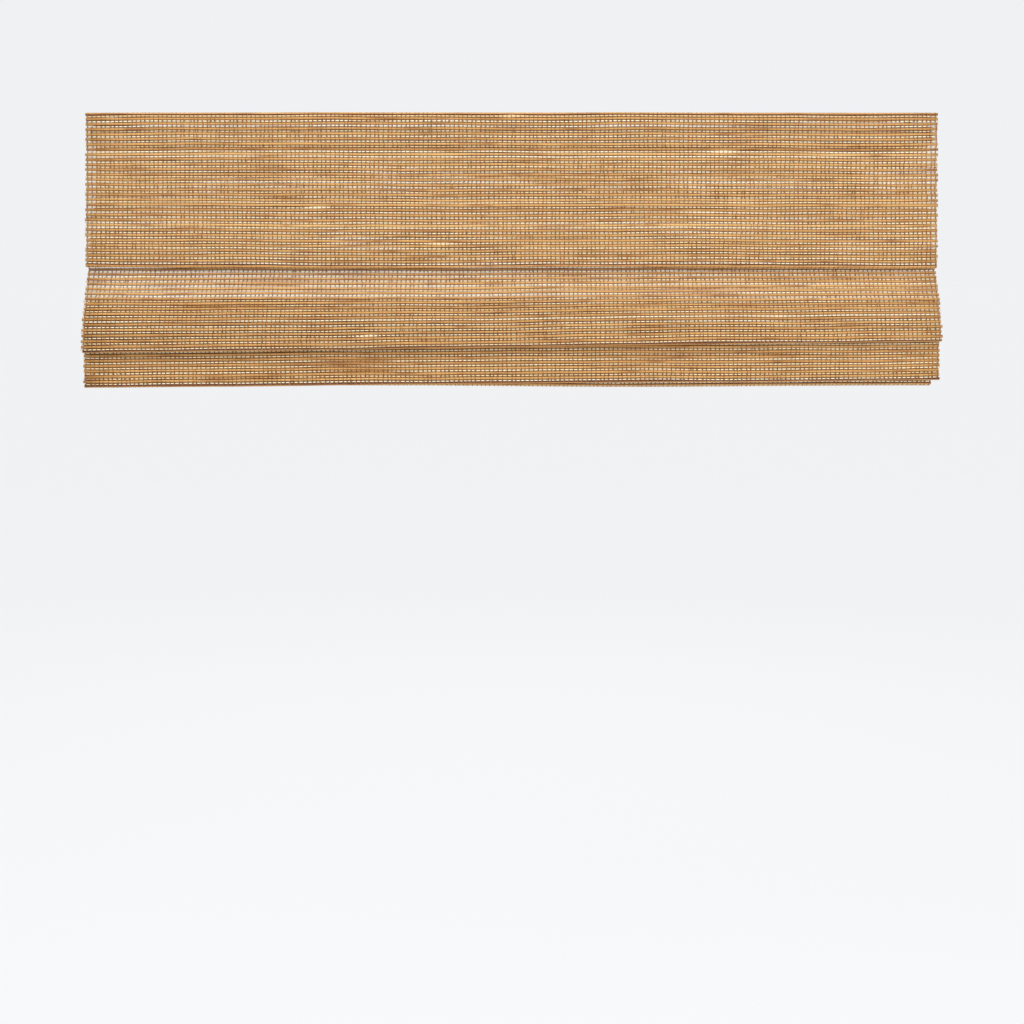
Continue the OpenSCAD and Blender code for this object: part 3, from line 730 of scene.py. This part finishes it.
# first row, last row, the body it rides on, the body below where it stretches,
# and the faces that show
shade_stretches = {
    "shade_top": (0, 20, "headrail", None, (1, -1)),
    "shade_front": (21, 45, "headrail", None, (1,)),
    "shade_rise_2": (46, 57, "headrail", "fold_row_2", (-1,)),
    "shade_drop_2": (58, 77, "fold_row_2", None, (1,)),
    "shade_rise_3": (78, 94, "fold_row_2", "fold_row_3", (-1,)),
    "shade_drop_3": (95, 111, "fold_row_3", None, (1,)),
    "shade_rise_4": (112, 125, "fold_row_3", "fold_row_4", (-1,)),
    "shade_drop_4": (126, 139, "fold_row_4", None, (1,)),
    "shade_rise_5": (140, 149, "fold_row_4", "bottom_rail", (-1,)),
    "shade_hem": (150, 173, "bottom_rail", None, (1,)),
}
# how far each body can come down below the one above it
full_drops = {"fold_row_2": 0.104, "fold_row_3": 0.1605,
              "fold_row_4": 0.137, "bottom_rail": 0.1125}
least_weight, most_weight = 0.004, 0.996


def ease_back(share):
    """Where a smoothstep reaches a share of its rise."""
    return 0.5 - math.sin(math.asin(1 - 2 * share) / 3)


def rise_weight(first, last, drop, length):
    """The share of a drop that spreads the rows of a rise evenly once it hangs straight."""
    begin, end = shade_line.row(first) - row_pitch / 2, shade_line.row(last) + row_pitch / 2
    high, low, here = (float(shade_line.at(mark)[1]) for mark in (begin, end, length))
    even = high + (length - begin) / (end - begin) * (low - drop - high)
    return min(max((here - even) / drop, least_weight), most_weight)


def rise_cuts(first, last):
    """A rise in stretches of two or three rows, so that its weight can change evenly along it."""
    rows = last - first + 1
    cuts = [first + round(part * rows / (rows // 2)) for part in range(rows // 2 + 1)]
    return [(cut, following - 1) for cut, following in zip(cuts, cuts[1:])]


def rise_lines(first, last, drop):
    """The rows of each stretch of a rise, and the ends of a line for each that a blend between two
    bodies could use.

    A line is turned along X, against the mat's uneven hang, so that neighbours meet at both ends."""
    cuts = rise_cuts(first, last)
    edges = [rows[0] - 0.5 for rows in cuts] + [last + 0.5]
    slopes = np.interp(edges, *np.transpose(shade_line.slack)) / (mat_width / 2)
    nears, spots, leans = [], [], []
    for rows in cuts:
        quarter = (rows[1] - rows[0] + 1) * row_pitch / 4
        marks = (shade_line.row(rows[0]) - row_pitch / 2 + quarter,
                 shade_line.row(rows[1]) + row_pitch / 2 - quarter)
        near, far = (ease_back(rise_weight(first, last, drop, mark)) for mark in marks)
        spot = shade_line.at(marks[0])
        step = shade_line.at(marks[1]) - spot
        nears.append(near)
        spots.append(spot)
        leans.append((far - near) * step / (step @ step))
    changes = [lean[1] * change for lean, change in zip(leans, np.diff(slopes))]
    stray = np.cumsum([0.0] + changes)
    stray -= (stray[0] + stray[-1]) / 2
    lines = []
    for rows, near, spot, lean, slope, off in zip(cuts, nears, spots, leans, slopes, stray):
        lean = np.array([off - lean[1] * slope, *lean])
        whole = lean / (lean @ lean)
        start = np.array([0, *spot]) - near * whole
        lines.append((rows, tuple(start), tuple(start + whole)))
    return lines


for number, (name, stretch) in enumerate(shade_stretches.items()):
    first, last, body, body_below, sides = stretch
    held_at = ["rear_loop_tape"] if first == 0 else []
    parts = [((first, last), None, None)]
    if body_below is not None:
        parts = rise_lines(first, last, full_drops[body_below])
    for part, (rows, start, end) in enumerate(parts):
        part_name = name if body_below is None else f"{name}_{part + 1}"
        pieces = mat_piece(part_name, "shade_mat", shade_line, range(rows[0], rows[1] + 1), sides,
                           shade_seed + number + part_seeds * part)
        for piece in pieces:
            if body_below is None:
                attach(piece, body)
            else:
                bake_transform(piece)


# Lift cords: four braided polyester cords from the spools, down behind the mat,
# through the rings of each fold row, and knotted in an orb at the bottom.
braid = mottled_finish(
    "braided_cord", 0.8, (1800, 1800, 900), 2.0,
    [(0.32, (206, 200, 186)), (0.62, (244, 240, 230))], depth=0.0004)
cord_radius, cord_y = 0.0006, -0.0174
cord_sides, cord_cuts = 10, 11
cord_places = (-0.350, -0.125, 0.125, 0.350)
# top, foot, the body it rides on, and the body below where it stretches
cord_runs = {
    "spool": (-0.022, -0.0985, "headrail", None),
    "row_2": (-0.0985, -0.17327, "headrail", "fold_row_2"),
    "row_3": (-0.17327, -0.18516, "fold_row_2", "fold_row_3"),
    "row_4": (-0.18516, -0.19535, "fold_row_3", "fold_row_4"),
    "row_5": (-0.19535, -0.20455, "fold_row_4", "bottom_rail"),
    "orb": (-0.20455, -0.2087, "bottom_rail", None),
}
for number, x in enumerate(cord_places, 1):
    for run, (top, foot, body, body_below) in cord_runs.items():
        form = bmesh.new()
        bmesh.ops.create_cone(form, cap_ends=True, segments=cord_sides,
                              radius1=cord_radius, radius2=cord_radius, depth=top - foot)
        cut_long_edges(form, cord_cuts)
        bmesh.ops.translate(form, verts=form.verts, vec=(x, cord_y, (top + foot) / 2))
        mesh = mesh_of(form, f"lift_cord_{number}_{run}")
        for face in mesh.polygons:
            face.use_smooth = len(face.vertices) == 4
        cord = placed(mesh.name, mesh, braid)
        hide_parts(f"lift_cord_{number}")
        if body_below is None:
            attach(cord, body)
        else:
            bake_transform(cord)


# Cord rings and orbs: small clear-white mouldings, the rings sewn to a reed on the mat's back
# and the orbs threaded on the cords below the last row.
ring_white = mottled_finish(
    "ring_moulding", 0.28, (800, 800, 800), 3.0,
    [(0.35, (226, 224, 218)), (0.65, (242, 241, 237))], gloss=(0.22, 0.38))
dress(ring_white, "ring_plastic", "cord_rings_1", "cord_rings_2", "cord_rings_3",
      "cord_rings_4", "cord_rings_5", "cord_orbs")


# Bottom bar: a flat hollow extrusion in white lacquer that slides into the hem pocket,
# with a moulded plug in each end.
lacquer = mottled_finish(
    "white_lacquer", 0.35, (40, 900, 900), 4.0,
    [(0.32, (228, 228, 226)), (0.68, (243, 243, 241))], gloss=(0.28, 0.45))
dress(lacquer, "bar_white", "bottom_bar")

plug = mottled_finish(
    "plug_moulding", 0.5, (1000, 1000, 1000), 3.0,
    [(0.35, (214, 214, 210)), (0.65, (232, 232, 229))], depth=0.0001)
dress(plug, "cap_plastic", "bar_cap_left", "bar_cap_right")


# Studio: a pale floor far below the hanging shade, soft lamps on both sides of it and a pale
# surround. The camera looks level at the shade's front.
floor_colour = srgb(240, 241, 243)
floor_depth, floor_reach = -1.15, 40
glow_strength, glow_share, surround_strength = 1.1, 0.8, 0.58


def reckon(tree, operation, first, second):
    """A sum done by a node, on a value and on another or a plain number."""
    node = tree.nodes.new("ShaderNodeMath")
    node.operation = operation
    tree.links.new(first, node.inputs[0])
    if isinstance(second, float):
        node.inputs[1].default_value = second
    else:
        tree.links.new(second, node.inputs[1])
    return node.outputs["Value"]


def seen_rays(tree):
    """One for what the camera sees, straight or through gloss and glass, and nought for light."""
    rays = tree.nodes.new("ShaderNodeLightPath").outputs
    value = reckon(tree, "MAXIMUM", rays["Is Camera Ray"], rays["Is Glossy Ray"])
    return reckon(tree, "MAXIMUM", value, rays["Is Transmission Ray"])


def choose(tree, share, first, second, output):
    """Two shaders mixed by a share, into the tree's output."""
    mix = tree.nodes.new("ShaderNodeMixShader")
    tree.links.new(share, mix.inputs["Fac"])
    tree.links.new(first, mix.inputs[1])
    tree.links.new(second, mix.inputs[2])
    tree.links.new(mix.outputs["Shader"], tree.nodes[output].inputs["Surface"])


floor_paint, tree, shader, place = finish_material("studio_floor", 0.9)
shader.inputs["Base Color"].default_value = floor_colour
glow = tree.nodes.new("ShaderNodeEmission")
glow.inputs["Color"].default_value = floor_colour
glow.inputs["Strength"].default_value = glow_strength
choose(tree, reckon(tree, "MULTIPLY", seen_rays(tree), glow_share),
       shader.outputs["BSDF"], glow.outputs["Emission"], "Material Output")
form = bmesh.new()
bmesh.ops.create_grid(form, x_segments=4, y_segments=4, size=floor_reach)
bmesh.ops.translate(form, verts=form.verts, vec=(0, 0, floor_depth))
studio_floor = placed("studio_floor", mesh_of(form, "studio_floor"), floor_paint)

world = bpy.data.worlds.new("studio")
bpy.context.scene.world = world
world.use_nodes = True
tree = world.node_tree
surround = tree.nodes["Background"]
surround.inputs["Color"].default_value = (1, 1, 1, 1)
surround.inputs["Strength"].default_value = surround_strength
seen = tree.nodes.new("ShaderNodeBackground")
seen.inputs["Color"].default_value = floor_colour
choose(tree, seen_rays(tree),
       surround.outputs["Background"], seen.outputs["Background"], "World Output")

# where each lamp stands, its size in metres and its power in watts
lamps = {
    "key": ((-0.7, -1.5, 1.1), 1.6, 28.0),
    "fill": ((1.2, -1.6, -0.15), 1.2, 16.0),
    "back": ((0.2, 1.8, 0.9), 1.6, 14.0),
}
shade_middle = Vector((0, -0.03, -0.12))
for name, (spot, size, power) in lamps.items():
    lamp = bpy.data.lights.new(name, "AREA")
    lamp.size = size
    lamp.energy = power
    holder = bpy.data.objects.new(name, lamp)
    holder.location = spot
    holder.rotation_euler = (shade_middle - Vector(spot)).to_track_quat("-Z", "Y").to_euler()
    holder.visible_camera = False
    bpy.context.scene.collection.objects.link(holder)

lens_data = bpy.data.cameras.new("camera")
lens_data.sensor_width = 36
lens_data.lens = 52.3
lens_data.shift_y = -0.256
camera = bpy.data.objects.new("camera", lens_data)
camera.location = (0.0005, -1.643, -0.118)
camera.rotation_euler = (math.pi / 2, 0, 0)
bpy.context.scene.collection.objects.link(camera)
bpy.context.scene.camera = camera
bpy.context.scene.view_settings.view_transform = "Standard"
